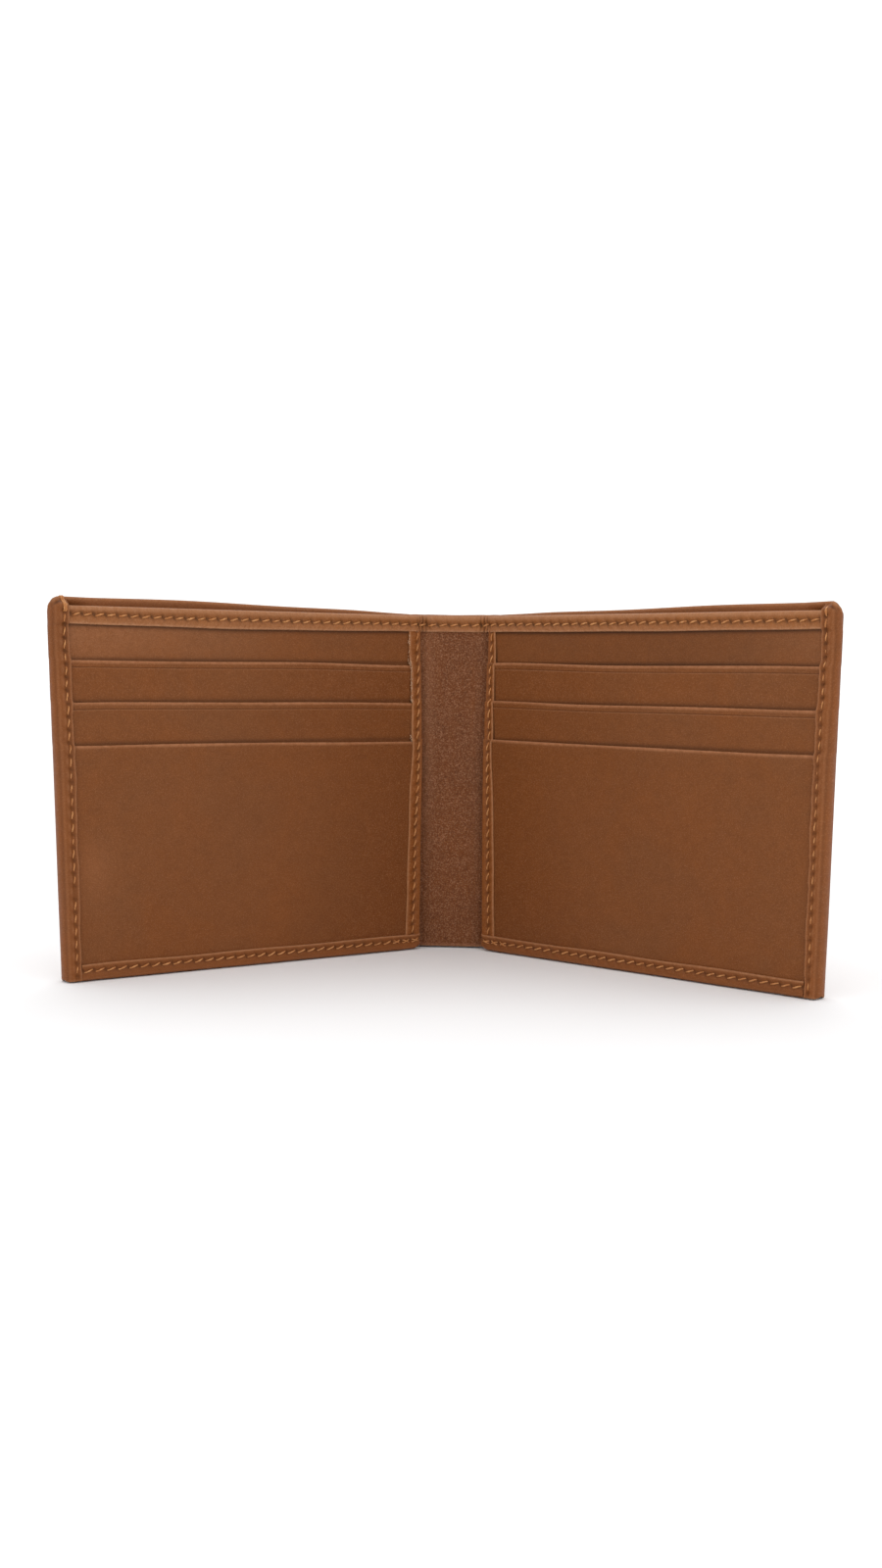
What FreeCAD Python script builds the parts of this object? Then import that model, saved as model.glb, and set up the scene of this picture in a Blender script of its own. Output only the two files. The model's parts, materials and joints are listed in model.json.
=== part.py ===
import FreeCAD, Part

import math
import os

# Bifold wallet standing on its long lower edge, opened to a V with the inside facing -Y.
# Lengths are in millimetres and angles in degrees. The wallet has a spine and two equal halves.
# Each half is drawn flat in its own frame and then turned about its fold line:
#   s  runs outwards from the fold line,
#   d  runs towards the reader from the front face of the divider, so layers behind it are negative,
#   z  runs up from the surface that the wallet stands on.

# Driving dimensions: the open wallet.
FOLD_ANGLE = 35.5          # how far each half is turned forwards from lying flat
FOLD_X = 9.5               # each fold line stands this far from the middle plane
HALF_WIDTH = 108.4         # fold line to outer edge
LINER_TOP = 94.7           # top of the divider with its folded band
COVER_TOP_AT_FOLD = 95.3   # the cover's top edge rises towards the outer ends
COVER_TOP_AT_EDGE = 97.0
CORNER_CUT = (3.5, 2.7)    # width and height of the folded-in top outer corner
FOLD_GAP = 0.05            # leather left out each side of a fold line

# Leather, lining and board thicknesses.
COVER_LEATHER = 1.0
BOARD = 0.4
LINING = 0.3
DIVIDER_LEATHER = 0.7
BACKING_LEATHER = 0.5
POCKET_LEATHER = 0.55
TAIL_CLOTH = 0.15
HEM_LEATHER = 0.7
BAND_LEATHER = 0.6
BAND_TURN = 0.3            # the band is pared thinner where it turns down inside the note compartment
STRIP_LEATHER = 0.5
LAYER_GAP = 0.05           # air between layers that only lie on each other
SLIP_GAP = 0.2             # mouth of the hidden pocket behind the card panel

# The note compartment, between the divider and the cover, is wide at the spine and shut at the edge.
NOTE_GAP_AT_FOLD = 5.0
NOTE_GAP_AT_EDGE = 0.4

# Features on the inside face.
CARD_EDGE = 0.9            # card panel starts this far outside the fold line
BAND_HEIGHT = 4.6
POCKET_MOUTHS = (81.1, 70.5, 59.7)
TAIL_BOTTOMS = (24.0, 13.5)
TAIL_SPAN = (8.0, 99.0)
POCKET_LAP = 12.0          # each upper pocket's leather ends this far below the next mouth
STRIP_WIDTH = 4.1          # folded strip on the card panel's edge beside the spine
SIDE_HEM = 5.8
BOTTOM_HEM = 4.45
TOP_HEM = 6.0
BOARD_INSET = 4.0
SPINE_LIFT = 0.5           # the spine's lower edge clears the table

# Sewing.
STITCH_PITCH = 3.03
STITCH_LENGTH = 2.2
THREAD_WIDTH = 0.45
THREAD_HEIGHT = 0.25
STITCH_SLANT = 14.0
BAND_SEAM_DROP = 2.6       # seam lines, measured in from the edge that they follow
SIDE_SEAM_INSET = 4.1
BOTTOM_SEAM_RISE = 2.8
STRIP_SEAM_INSET = 1.9
TOP_SEAM_DROP = 3.6
TAIL_SEAM_RISE = 1.5

# Depths of the layers in front of the divider, worked out from the back forwards.
BACKING_BACK = SLIP_GAP
BACKING_FACE = BACKING_BACK + BACKING_LEATHER
POCKET_BACKS = [BACKING_FACE + LAYER_GAP + n * (POCKET_LEATHER + LAYER_GAP) for n in range(3)]
POCKET_FACES = [back + POCKET_LEATHER for back in POCKET_BACKS]
BAND_FACE = BACKING_FACE + BAND_LEATHER
LINING_BACK = -(DIVIDER_LEATHER + LINING)
BAND_BACK = LINING_BACK - BAND_TURN
BAND_FOOT = LINER_TOP - BAND_HEIGHT
INNER_EDGE = HALF_WIDTH - HEM_LEATHER
STRIP_WALL = 0.4
CARD_START = CARD_EDGE + STRIP_WALL

# Depths behind the divider's front face of the note compartment's back wall, at the fold and edge.
COVER_DEPTH_AT_FOLD = NOTE_GAP_AT_FOLD - LINING_BACK
COVER_DEPTH_AT_EDGE = NOTE_GAP_AT_EDGE - LINING_BACK
COVER_THICKNESS = LINING + BOARD + COVER_LEATHER
COVER_LEAN = math.degrees(math.atan((COVER_DEPTH_AT_FOLD - COVER_DEPTH_AT_EDGE) / HALF_WIDTH))

# Faces that the folded margins lie on: (lowest z, highest z, depth of the face).
CARD_STEPS = [
    (0.0, POCKET_MOUTHS[2], POCKET_FACES[2]),
    (POCKET_MOUTHS[2], POCKET_MOUTHS[1], POCKET_FACES[1]),
    (POCKET_MOUTHS[1], POCKET_MOUTHS[0], POCKET_FACES[0]),
    (POCKET_MOUTHS[0], BAND_FOOT, BACKING_FACE),
]
EDGE_STEPS = CARD_STEPS + [(BAND_FOOT, COVER_TOP_AT_EDGE, BAND_FACE)]

# The origin is at the bottom centre of the standing wallet's box.
turn = math.radians(FOLD_ANGLE)
FRONT_Y = -(HALF_WIDTH * math.sin(turn) + (POCKET_FACES[2] + HEM_LEATHER) * math.cos(turn))
BACK_Y = COVER_DEPTH_AT_FOLD + COVER_THICKNESS
FOLD_Y = -(FRONT_Y + BACK_Y) / 2


# ---- shapes in a half's own frame ----

def block(s_span, d_span, z_span):
    """A box between the given limits along s, d and z."""
    corner = FreeCAD.Vector(s_span[0], -d_span[1], z_span[0])
    return Part.makeBox(s_span[1] - s_span[0], d_span[1] - d_span[0], z_span[1] - z_span[0], corner)


def prism(points, direction):
    """A solid made by pushing a closed outline along a direction."""
    return Part.Face(Part.makePolygon(points + points[:1])).extrude(direction)


def joined(shapes):
    """One solid from shapes that touch or overlap."""
    return shapes[0].multiFuse(shapes[1:]).removeSplitter()


def cover_top(s):
    """Height of the cover's top edge at a distance from the fold."""
    return COVER_TOP_AT_FOLD + (COVER_TOP_AT_EDGE - COVER_TOP_AT_FOLD) * s / HALF_WIDTH


def cover_depth(s):
    """Depth of the note compartment's back wall behind the divider's face."""
    return COVER_DEPTH_AT_FOLD + (COVER_DEPTH_AT_EDGE - COVER_DEPTH_AT_FOLD) * s / HALF_WIDTH


def cover_outline(s_start, s_end, bottom, drop=0.0):
    """A right-angled sheet in the cover's shape, lowered by drop, as a thick block to cut others with."""
    cut_s, cut_z = CORNER_CUT
    corner = HALF_WIDTH - cut_s
    top = [(s_end, cover_top(s_end) - drop)]
    if s_end > corner:
        top = [(s_end, cover_top(s_end) - drop - cut_z), (corner, cover_top(corner) - drop)]
    outline = [(s_start, bottom), (s_end, bottom)] + top + [(s_start, cover_top(s_start) - drop)]
    reach = 20.0
    points = [FreeCAD.Vector(s, -reach, z) for s, z in outline]
    return prism(points, FreeCAD.Vector(0, 2 * reach, 0))


def cover_layer(near, far, outline):
    """A layer of the cover between two distances behind the note compartment's back wall."""
    ends = (FOLD_GAP, HALF_WIDTH)
    front = [FreeCAD.Vector(s, cover_depth(s) + near, 0) for s in ends]
    back = [FreeCAD.Vector(s, cover_depth(s) + far, 0) for s in reversed(ends)]
    slab = prism(front + back, FreeCAD.Vector(0, 0, COVER_TOP_AT_EDGE))
    return slab.common(outline).Solids[0]


# ---- the cover's layers ----

def cover_leather():
    """The outer leather of one half, with its top margin folded in over the lining."""
    outline = cover_outline(FOLD_GAP, HALF_WIDTH, 0.0)
    skin = cover_layer(LINING + BOARD, COVER_THICKNESS, outline)
    below_hem = cover_outline(FOLD_GAP, HALF_WIDTH, 0.0, TOP_HEM)
    margin = cover_outline(FOLD_GAP, INNER_EDGE, 0.0).cut(below_hem)
    return joined([skin, cover_layer(0.0, LINING + BOARD, margin)])


def cover_board():
    """The stiffener between the cover's leather and its lining."""
    outline = cover_outline(BOARD_INSET, INNER_EDGE - BOARD_INSET, BOARD_INSET, TOP_HEM + LAYER_GAP)
    return cover_layer(LINING, LINING + BOARD, outline)


def cover_lining():
    """The back wall of the note compartment, reaching back to the leather round the board."""
    outline = cover_outline(FOLD_GAP, INNER_EDGE, HEM_LEATHER, TOP_HEM + LAYER_GAP)
    sheet = cover_layer(0.0, LINING + BOARD, outline)
    return sheet.cut(cover_board())


def stuffing(steps, start, end, bottom):
    """Everything that lies under a folded margin, as one block for each step."""
    layers = [block((start, end), (-10.0, face), (max(low, bottom), high)) for low, high, face in steps]
    return joined(layers)


def side_hem():
    """The cover's outer margin, folded round the edge and forwards over the pockets' ends."""
    start = HALF_WIDTH - SIDE_HEM
    steps = [block((start, HALF_WIDTH), (-10.0, face + HEM_LEATHER), (low, high))
             for low, high, face in EDGE_STEPS]
    hem = joined(steps).cut(stuffing(EDGE_STEPS, 0.0, INNER_EDGE, 0.0))
    hem = hem.cut(behind_cover(LINING + BOARD))
    return hem.common(cover_outline(0.0, HALF_WIDTH, 0.0)).Solids[0]


def behind_cover(near):
    """All the space behind a layer of the cover."""
    ends = (-1.0, HALF_WIDTH + 1.0)
    front = [FreeCAD.Vector(s, cover_depth(s) + near, -1.0) for s in ends]
    back = [FreeCAD.Vector(s, 20.0, -1.0) for s in reversed(ends)]
    return prism(front + back, FreeCAD.Vector(0, 0, 2 * COVER_TOP_AT_EDGE))


def bottom_hem():
    """The cover's lower margin, folded under all layers and up over the lowest pocket."""
    end = HALF_WIDTH - SIDE_HEM
    face = POCKET_FACES[2]
    front = block((CARD_EDGE, end), (face, face + HEM_LEATHER), (0.0, BOTTOM_HEM))
    under = block((CARD_EDGE, end), (-10.0, face), (0.0, HEM_LEATHER))
    return joined([front, under]).cut(behind_cover(LINING + BOARD))


# ---- the divider between cards and notes ----

def divider_leather():
    """The leather wall behind the card panel."""
    return block((FOLD_GAP, INNER_EDGE), (-DIVIDER_LEATHER, 0.0), (HEM_LEATHER, LINER_TOP - BAND_LEATHER))


def divider_lining():
    """The front wall of the note compartment."""
    span = (LINING_BACK, -DIVIDER_LEATHER)
    return block((FOLD_GAP, INNER_EDGE), span, (HEM_LEATHER, LINER_TOP - BAND_LEATHER))


def top_band():
    """The band folded over the divider's top edge, and over the top of the card panel."""
    s_span = (CARD_EDGE, INNER_EDGE)
    front = block(s_span, (BACKING_FACE, BAND_FACE), (BAND_FOOT, LINER_TOP))
    over = block(s_span, (BAND_BACK, BACKING_FACE), (LINER_TOP - BAND_LEATHER, LINER_TOP))
    behind = block(s_span, (BAND_BACK, LINING_BACK), (BAND_FOOT, LINER_TOP - BAND_LEATHER))
    return joined([front, over, behind])


# ---- the card panel ----

def card_backing():
    """The leather that the pockets are sewn to, seen above the top pocket."""
    z_span = (HEM_LEATHER, LINER_TOP - BAND_LEATHER)
    return block((CARD_START, INNER_EDGE), (BACKING_BACK, BACKING_FACE), z_span)


def card_pocket(number):
    """One pocket's leather: the upper two end behind the pocket in front, the last at the bottom."""
    bottom = HEM_LEATHER
    if number < 2:
        bottom = POCKET_MOUTHS[number + 1] - POCKET_LAP
    z_span = (bottom, POCKET_MOUTHS[number])
    return block((CARD_START, INNER_EDGE), (POCKET_BACKS[number], POCKET_FACES[number]), z_span)


def pocket_tail(number):
    """The cloth that carries an upper pocket down to the foot of its card."""
    top = POCKET_MOUTHS[number + 1] - POCKET_LAP - LAYER_GAP
    back = POCKET_BACKS[number]
    return block(TAIL_SPAN, (back, back + TAIL_CLOTH), (TAIL_BOTTOMS[number], top))


def edge_strip():
    """The strip folded over the card panel's edge beside the spine."""
    end = CARD_EDGE + STRIP_WIDTH
    steps = [block((CARD_EDGE, end), (BACKING_BACK, face + STRIP_LEATHER), (max(low, BOTTOM_HEM), high))
             for low, high, face in CARD_STEPS]
    return joined(steps).cut(stuffing(CARD_STEPS, CARD_START, end + 1.0, 0.0))


# ---- sewing ----

def stitch(length, along_z, slant):
    """One stitch about its own middle: a flat bar of thread lying on a face at d = 0."""
    half = length / 2
    width = THREAD_WIDTH / 2
    bar = block((-half, half), (0.0, THREAD_HEIGHT), (-width, width))
    angle = slant + (90.0 if along_z else 0.0)
    bar.rotate(FreeCAD.Vector(0, 0, 0), FreeCAD.Vector(0, -1, 0), angle)
    return bar


def places(start, end):
    """Middles of the stitches that fit between two ends of a seam."""
    count = int((end - start) / STITCH_PITCH)
    first = (start + end - (count - 1) * STITCH_PITCH) / 2
    return [first + n * STITCH_PITCH for n in range(count)]


def seam_across(start, end, z, depth, slant=STITCH_SLANT):
    """A row of stitches along s on a face at a depth."""
    row = []
    for s in places(start, end):
        bar = stitch(STITCH_LENGTH, False, slant)
        bar.translate(FreeCAD.Vector(s, -depth, z))
        row.append(bar)
    return row


def seam_up(s, start, end, depth_at, slant=STITCH_SLANT):
    """A row of stitches along z, each on the face that depth_at gives for its height."""
    row = []
    for z in places(start, end):
        bar = stitch(STITCH_LENGTH, True, slant)
        bar.translate(FreeCAD.Vector(s, -depth_at(z), z))
        row.append(bar)
    return row


def face_under(steps, z, half_length):
    """The highest face that a stitch about z reaches."""
    return max(face for low, high, face in steps if z + half_length > low and z - half_length < high)


def on_cover_back(row):
    """A row sewn on a flat face at d = 0, laid on the leaning outer face of the cover."""
    for bar in row:
        bar.translate(FreeCAD.Vector(0, THREAD_HEIGHT, 0))
        bar.rotate(FreeCAD.Vector(0, 0, 0), FreeCAD.Vector(0, 0, 1), -COVER_LEAN)
        bar.translate(FreeCAD.Vector(0, COVER_DEPTH_AT_FOLD + COVER_THICKNESS, 0))
    return row


def band_seam():
    """The seam that holds the top band."""
    start = CARD_EDGE + STRIP_SEAM_INSET
    end = HALF_WIDTH - SIDE_HEM
    return Part.makeCompound(seam_across(start, end, LINER_TOP - BAND_SEAM_DROP, BAND_FACE))


def side_seam():
    """The seam through every layer at the outer edge, seen on the hem and on the cover's back."""
    s = HALF_WIDTH - SIDE_SEAM_INSET
    top = cover_top(s) - 1.0
    inside = seam_up(s, BOTTOM_SEAM_RISE, top,
                     lambda z: HEM_LEATHER + face_under(EDGE_STEPS, z, STITCH_LENGTH / 2))
    outside = on_cover_back(seam_up(s, BOTTOM_SEAM_RISE, top, lambda z: 0.0))
    return Part.makeCompound(inside + outside)


def bottom_seam():
    """The seam through every layer at the lower edge."""
    end = HALF_WIDTH - SIDE_HEM
    face = POCKET_FACES[2] + HEM_LEATHER
    inside = seam_across(CARD_EDGE, end, BOTTOM_SEAM_RISE, face)
    outside = on_cover_back(seam_across(CARD_EDGE, end, BOTTOM_SEAM_RISE, 0.0))
    return Part.makeCompound(inside + outside)


def strip_seam():
    """The seam down the folded strip beside the spine."""
    return Part.makeCompound(seam_up(CARD_EDGE + STRIP_SEAM_INSET, BOTTOM_HEM, BAND_FOOT,
                                     lambda z: STRIP_LEATHER + face_under(CARD_STEPS, z, STITCH_LENGTH / 2)))


def tail_seams():
    """The hidden seams that close the feet of the two upper pockets."""
    rows = []
    for number, bottom in enumerate(TAIL_BOTTOMS):
        depth = POCKET_BACKS[number] + TAIL_CLOTH
        rows += seam_across(TAIL_SPAN[0], TAIL_SPAN[1], bottom + TAIL_SEAM_RISE, depth, 0.0)
    return Part.makeCompound(rows)


def cover_top_seam():
    """The seam that holds the cover's folded top margin, seen on the outside of the cover."""
    rise = math.degrees(math.atan((COVER_TOP_AT_EDGE - COVER_TOP_AT_FOLD) / HALF_WIDTH))
    row = seam_across(1.0, HALF_WIDTH - SIDE_HEM, COVER_TOP_AT_FOLD - TOP_SEAM_DROP, 0.0)
    for bar in row:
        bar.rotate(FreeCAD.Vector(0, 0, COVER_TOP_AT_FOLD), FreeCAD.Vector(0, -1, 0), rise)
    return Part.makeCompound(on_cover_back(row))


# ---- the spine, drawn in the wallet's frame with the fold lines at y = 0 ----

def spine_block(y_span, z_span):
    """A box across the spine between the two fold lines."""
    x_limit = FOLD_X - FOLD_GAP
    return block((-x_limit, x_limit), (-y_span[1], -y_span[0]), z_span)


def spine_cover():
    """The outer leather between the folds, with its top margin folded in."""
    front = COVER_DEPTH_AT_FOLD + LINING + BOARD
    skin = spine_block((front, front + COVER_LEATHER), (SPINE_LIFT, COVER_TOP_AT_FOLD))
    margin = spine_block((COVER_DEPTH_AT_FOLD, front), (COVER_TOP_AT_FOLD - TOP_HEM, COVER_TOP_AT_FOLD))
    return joined([skin, margin])


def spine_cover_lining():
    """The lining between the folds, lying on the leather because no board crosses the spine."""
    front = COVER_DEPTH_AT_FOLD + BOARD
    return spine_block((front, front + LINING), (SPINE_LIFT, COVER_TOP_AT_FOLD - TOP_HEM - LAYER_GAP))


def spine_divider():
    """The grained leather strip seen between the two card panels."""
    return spine_block((0.0, DIVIDER_LEATHER), (SPINE_LIFT, LINER_TOP - BAND_LEATHER))


def spine_divider_lining():
    """The lining behind the grained strip."""
    return spine_block((DIVIDER_LEATHER, -LINING_BACK), (SPINE_LIFT, LINER_TOP - BAND_LEATHER))


def spine_band():
    """The top band where it crosses the spine."""
    cap = LINER_TOP - BAND_LEATHER
    front = spine_block((-BAND_LEATHER, 0.0), (BAND_FOOT, LINER_TOP))
    over = spine_block((0.0, -BAND_BACK), (cap, LINER_TOP))
    behind = spine_block((-LINING_BACK, -BAND_BACK), (BAND_FOOT, cap))
    return joined([front, over, behind])


def spine_band_seam():
    """The band's seam where it crosses the spine."""
    reach = FOLD_X - 1.0
    return Part.makeCompound(seam_across(-reach, reach, LINER_TOP - BAND_SEAM_DROP, BAND_LEATHER))


# ---- putting the wallet together ----

HALF_PIECES = {
    "cover_leather": cover_leather,
    "cover_board": cover_board,
    "cover_lining": cover_lining,
    "side_hem": side_hem,
    "bottom_hem": bottom_hem,
    "divider_leather": divider_leather,
    "divider_lining": divider_lining,
    "top_band": top_band,
    "card_backing": card_backing,
    "card_pocket_top": lambda: card_pocket(0),
    "card_pocket_middle": lambda: card_pocket(1),
    "card_pocket_bottom": lambda: card_pocket(2),
    "pocket_tail_top": lambda: pocket_tail(0),
    "pocket_tail_middle": lambda: pocket_tail(1),
    "edge_strip": edge_strip,
    "thread_band": band_seam,
    "thread_side": side_seam,
    "thread_bottom": bottom_seam,
    "thread_strip": strip_seam,
    "thread_tails": tail_seams,
    "thread_cover_top": cover_top_seam,
}

SPINE_PIECES = {
    "spine_cover": spine_cover,
    "spine_cover_lining": spine_cover_lining,
    "spine_divider": spine_divider,
    "spine_divider_lining": spine_divider_lining,
    "spine_band": spine_band,
    "spine_thread_band": spine_band_seam,
}


def right_half(shape):
    """Turns a half's piece forwards about the right fold line and puts it there."""
    shape.rotate(FreeCAD.Vector(0, 0, 0), FreeCAD.Vector(0, 0, 1), -FOLD_ANGLE)
    shape.translate(FreeCAD.Vector(FOLD_X, FOLD_Y, 0))
    return shape


def save(shape, name):
    """Writes one node and says what it holds."""
    shape.exportStep("parts/" + name + ".step")
    print(f"{name:28s} solids {len(shape.Solids):3d}  volume {shape.Volume:9.2f}  valid {shape.isValid()}")


os.makedirs("parts", exist_ok=True)
for piece, make in HALF_PIECES.items():
    right = right_half(make())
    save(right, piece + "_right")
    save(right.mirror(FreeCAD.Vector(0, 0, 0), FreeCAD.Vector(1, 0, 0)), piece + "_left")
for piece, make in SPINE_PIECES.items():
    shape = make()
    shape.translate(FreeCAD.Vector(0, FOLD_Y, 0))
    save(shape, piece)
print(f"fold lines at x = +-{FOLD_X} y = {FOLD_Y:.4f}")
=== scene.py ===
import json
import math

import bpy
from mathutils import Matrix, Vector
import numpy as np


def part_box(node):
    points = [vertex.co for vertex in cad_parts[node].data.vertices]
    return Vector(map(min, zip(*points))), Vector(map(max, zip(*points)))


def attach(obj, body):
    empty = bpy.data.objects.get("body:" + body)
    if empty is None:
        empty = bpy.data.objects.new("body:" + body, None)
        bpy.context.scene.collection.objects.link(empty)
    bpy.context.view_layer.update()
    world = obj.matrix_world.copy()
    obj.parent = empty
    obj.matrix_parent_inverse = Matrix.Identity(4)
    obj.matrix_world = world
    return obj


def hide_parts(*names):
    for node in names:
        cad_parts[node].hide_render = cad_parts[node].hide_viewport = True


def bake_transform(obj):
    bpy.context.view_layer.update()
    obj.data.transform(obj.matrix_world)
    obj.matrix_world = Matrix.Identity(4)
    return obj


# The bifold wallet's looks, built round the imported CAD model.
# Pieces are drawn in millimetres in each half's own frame and put in the model's frame in metres:
#   s  runs outwards from the fold line,
#   d  runs towards the reader from the divider's front face,
#   z  runs up from the table.
# Pieces that cross a fold use u, the distance from the wallet's middle along the divider, so s = u - FOLD_X.

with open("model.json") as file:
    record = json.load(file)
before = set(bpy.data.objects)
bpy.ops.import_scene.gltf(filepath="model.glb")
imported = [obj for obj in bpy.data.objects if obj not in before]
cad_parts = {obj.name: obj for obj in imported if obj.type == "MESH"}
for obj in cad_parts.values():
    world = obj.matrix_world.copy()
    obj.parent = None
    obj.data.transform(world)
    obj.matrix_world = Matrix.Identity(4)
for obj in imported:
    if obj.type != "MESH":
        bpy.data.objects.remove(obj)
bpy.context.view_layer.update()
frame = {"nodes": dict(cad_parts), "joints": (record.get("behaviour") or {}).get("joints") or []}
random = np.random.default_rng(7)
MM = 0.001

# ---------------------------------------------------------------- sizes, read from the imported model

fold = next(j for j in frame["joints"] if j["name"] == "right_fold")
FOLD_X = fold["pos_m"][0] / MM
FOLD_Y = fold["pos_m"][1] / MM
TURN = math.radians(-fold["range_deg"][0])
COS, SIN = math.cos(TURN), math.sin(TURN)


def node_points(node):
    """A right-hand CAD node's corners as (s, d, z), in millimetres."""
    co = np.array([v.co for v in frame["nodes"][node].data.vertices]) / MM
    x, y = co[:, 0] - FOLD_X, co[:, 1] - FOLD_Y
    return np.stack([x * COS - y * SIN, -x * SIN - y * COS, co[:, 2]], -1)


def span(node):
    """A right-hand CAD node's limits along s, d and z, in millimetres."""
    p = node_points(node)
    return list(zip(p.min(0).round(3).tolist(), p.max(0).round(3).tolist()))


(HEM_START, EDGE), _, (_, TOP_AT_EDGE) = span("side_hem_right")
(CARD_EDGE, _), (_, HEM_FACE), (_, BOTTOM_HEM) = span("bottom_hem_right")
(_, STRIP_END), _, _ = span("edge_strip_right")
(_, INNER), (BAND_BACK, BAND_FACE), (BAND_FOOT, LINER_TOP) = span("top_band_right")
(CARD_START, _), (BACKING_BACK, BACKING_FACE), (LAYER_FOOT, LAYER_TOP) = span("card_backing_right")
POCKETS = [span("card_pocket_" + n + "_right") for n in ("top", "middle", "bottom")]
MOUTHS = [p[2][1] for p in POCKETS]
_, (LINING_BACK, _), _ = span("divider_lining_right")
SPINE_LOW, SPINE_HIGH = [[c / MM for c in corner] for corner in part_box("spine_cover")]
SPINE_FOOT, TOP_AT_FOLD = SPINE_LOW[2], SPINE_HIGH[2]
COVER_IN_FOLD = SPINE_LOW[1] - FOLD_Y
COVER_OUT_FOLD = SPINE_HIGH[1] - FOLD_Y
cover_points = node_points("cover_leather_right")
COVER_OUT_EDGE = -cover_points[cover_points[:, 0] > EDGE - 0.01][:, 1].min()
COVER_THICK = COVER_OUT_FOLD - COVER_IN_FOLD
COVER_IN_EDGE = COVER_OUT_EDGE - COVER_THICK

HEM_LEATHER = 0.7
STRIP_LEATHER = 0.5
LAYER_STEP = 0.6             # each pocket stands this far in front of the one behind
PITCH = 3.03                 # stitch length from hole to hole, fitted to each seam's length
SIDE_PITCH = 3.25            # and along the outer ends
SIDE_SEAM = EDGE - 4.4
BOTTOM_SEAM = 2.8
BAND_SEAM = LINER_TOP - 2.6
TOP_SEAM_DROP = 3.6
TOP_MARGIN = 6.05            # how far the cover's lining ends below its top edge
BEND = 1.5                   # half the width of leather that turns at a fold
BEND_RADIUS = BEND / math.tan(TURN / 2)
SIDES = (("left", -1), ("right", 1))


# ---------------------------------------------------------------- shape functions

def smooth(low, high, v):
    """0 below low and 1 above high, with a smooth step between."""
    t = np.clip((np.asarray(v, float) - low) / (high - low), 0, 1)
    return t * t * (3 - 2 * t)


def hill(v, width):
    return np.exp(-(np.asarray(v, float) / width) ** 2)


def cover_top(s, side=1):
    """Height of the cover's top edge, with the folded-in top outer corner."""
    line = TOP_AT_FOLD + (97.0 - TOP_AT_FOLD) * s / EDGE
    line = line + (0.50 if side < 0 else 0.10) * np.sin(np.pi * np.clip(s / EDGE, 0, 1))
    cut = 2.9 * (1 - np.sqrt(1 - 0.98 * np.clip((s - (EDGE - 4.3)) / 4.3, 0, 1) ** 2.4))
    return line - cut + 0.12 * np.sin(s / 9.0) * smooth(5, 20, s)


def layer_top(s):
    """Height of the layers behind the band, trimmed low under the folded-in corner."""
    return LAYER_TOP - 3.2 * smooth(104.0, INNER, s)


def hem_face(z):
    """Depth of the outermost layer that the folded margins lie on, eased over each pocket's mouth."""
    face = POCKETS[2][1][1]
    for mouth in reversed(MOUTHS):
        face = face - LAYER_STEP * smooth(mouth - 0.15, mouth + 1.1, z) + 0.10 * hill(z - mouth + 0.5, 0.6)
    return face + (BAND_FACE - BACKING_FACE) * smooth(BAND_FOOT - 0.7, BAND_FOOT + 0.2, z)


def wall_depth(s, z):
    """Distance of the note compartment's back wall behind the divider's face.
    The seams draw it in to the divider along the bottom."""
    base = COVER_IN_FOLD + (COVER_IN_EDGE - COVER_IN_FOLD) * np.clip(s, 0, EDGE) / EDGE
    tight = 0.12 - LINING_BACK
    pinch = (1 - smooth(2.5, 24, z)) * smooth(-2.0, 8.0, s)
    belly = 0.5 * np.sin(np.pi * np.clip(s / 106, 0, 1)) * np.sin(np.pi * np.clip(z / 97, 0, 1))
    drawn = 1.7 * smooth(SIDE_SEAM - 9, SIDE_SEAM - 1, s) * smooth(LINER_TOP - 0.8, TOP_AT_EDGE - 0.4, z)
    return base + (np.minimum(tight, base) - base) * pinch + belly - drawn


def ripple(side, s, z):
    """The gentle unevenness that a half's sewn layers share."""
    calm = smooth(2, 22, s) * (1 - smooth(92, 104, s))
    long = 0.20 * np.sin(s / 15.5 + 1.3 * side) * np.sin(z / 31 + 0.4)
    short = 0.07 * np.sin(s / 5.7 + z / 14 + side) + 0.05 * np.sin(z / 4.9 - s / 17)
    return calm * (long + short)


def corner_lift(s, z):
    """Rounds the lower corner beside the spine: everything near it is raised together."""
    radius = 2.5
    t = np.clip((CARD_EDGE + radius - s) / radius, 0, 1)
    rise = radius * (1 - np.sqrt(1 - t * t)) * smooth(-0.6, CARD_EDGE, s)
    return rise * np.clip(1 - z / 8, 0, 1) ** 2


def place(side, s, d, z, shared=True):
    """Points of a half, in metres. shared is False for the cover, which hangs free of the other layers."""
    s, d, z = np.broadcast_arrays(*(np.asarray(v, float) for v in (s, d, z)))
    return place_u(side, s + FOLD_X, d, z, shared)


def place_u(side, u, d, z, shared=True):
    """Points measured from the wallet's middle, bent round the fold, in metres."""
    u, d, z = np.broadcast_arrays(*(np.asarray(v, float) for v in (u, d, z)))
    s = u - FOLD_X
    if shared:
        d = d + ripple(side, s, z)
    z = z + corner_lift(s, z) * smooth(-4.5, -0.5, d)
    u = u - draw_in(side, s, z)
    flat = FOLD_X - BEND
    angle = np.clip((u - flat) / (2 * BEND), 0, 1) * TURN
    beyond = np.maximum(u - FOLD_X - BEND, 0)
    x = np.minimum(u, flat) + BEND_RADIUS * np.sin(angle) + beyond * COS - d * np.sin(angle)
    y = FOLD_Y - BEND_RADIUS * (1 - np.cos(angle)) - beyond * SIN - d * np.cos(angle)
    return np.stack([side * x, y, z], -1) * MM


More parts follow.
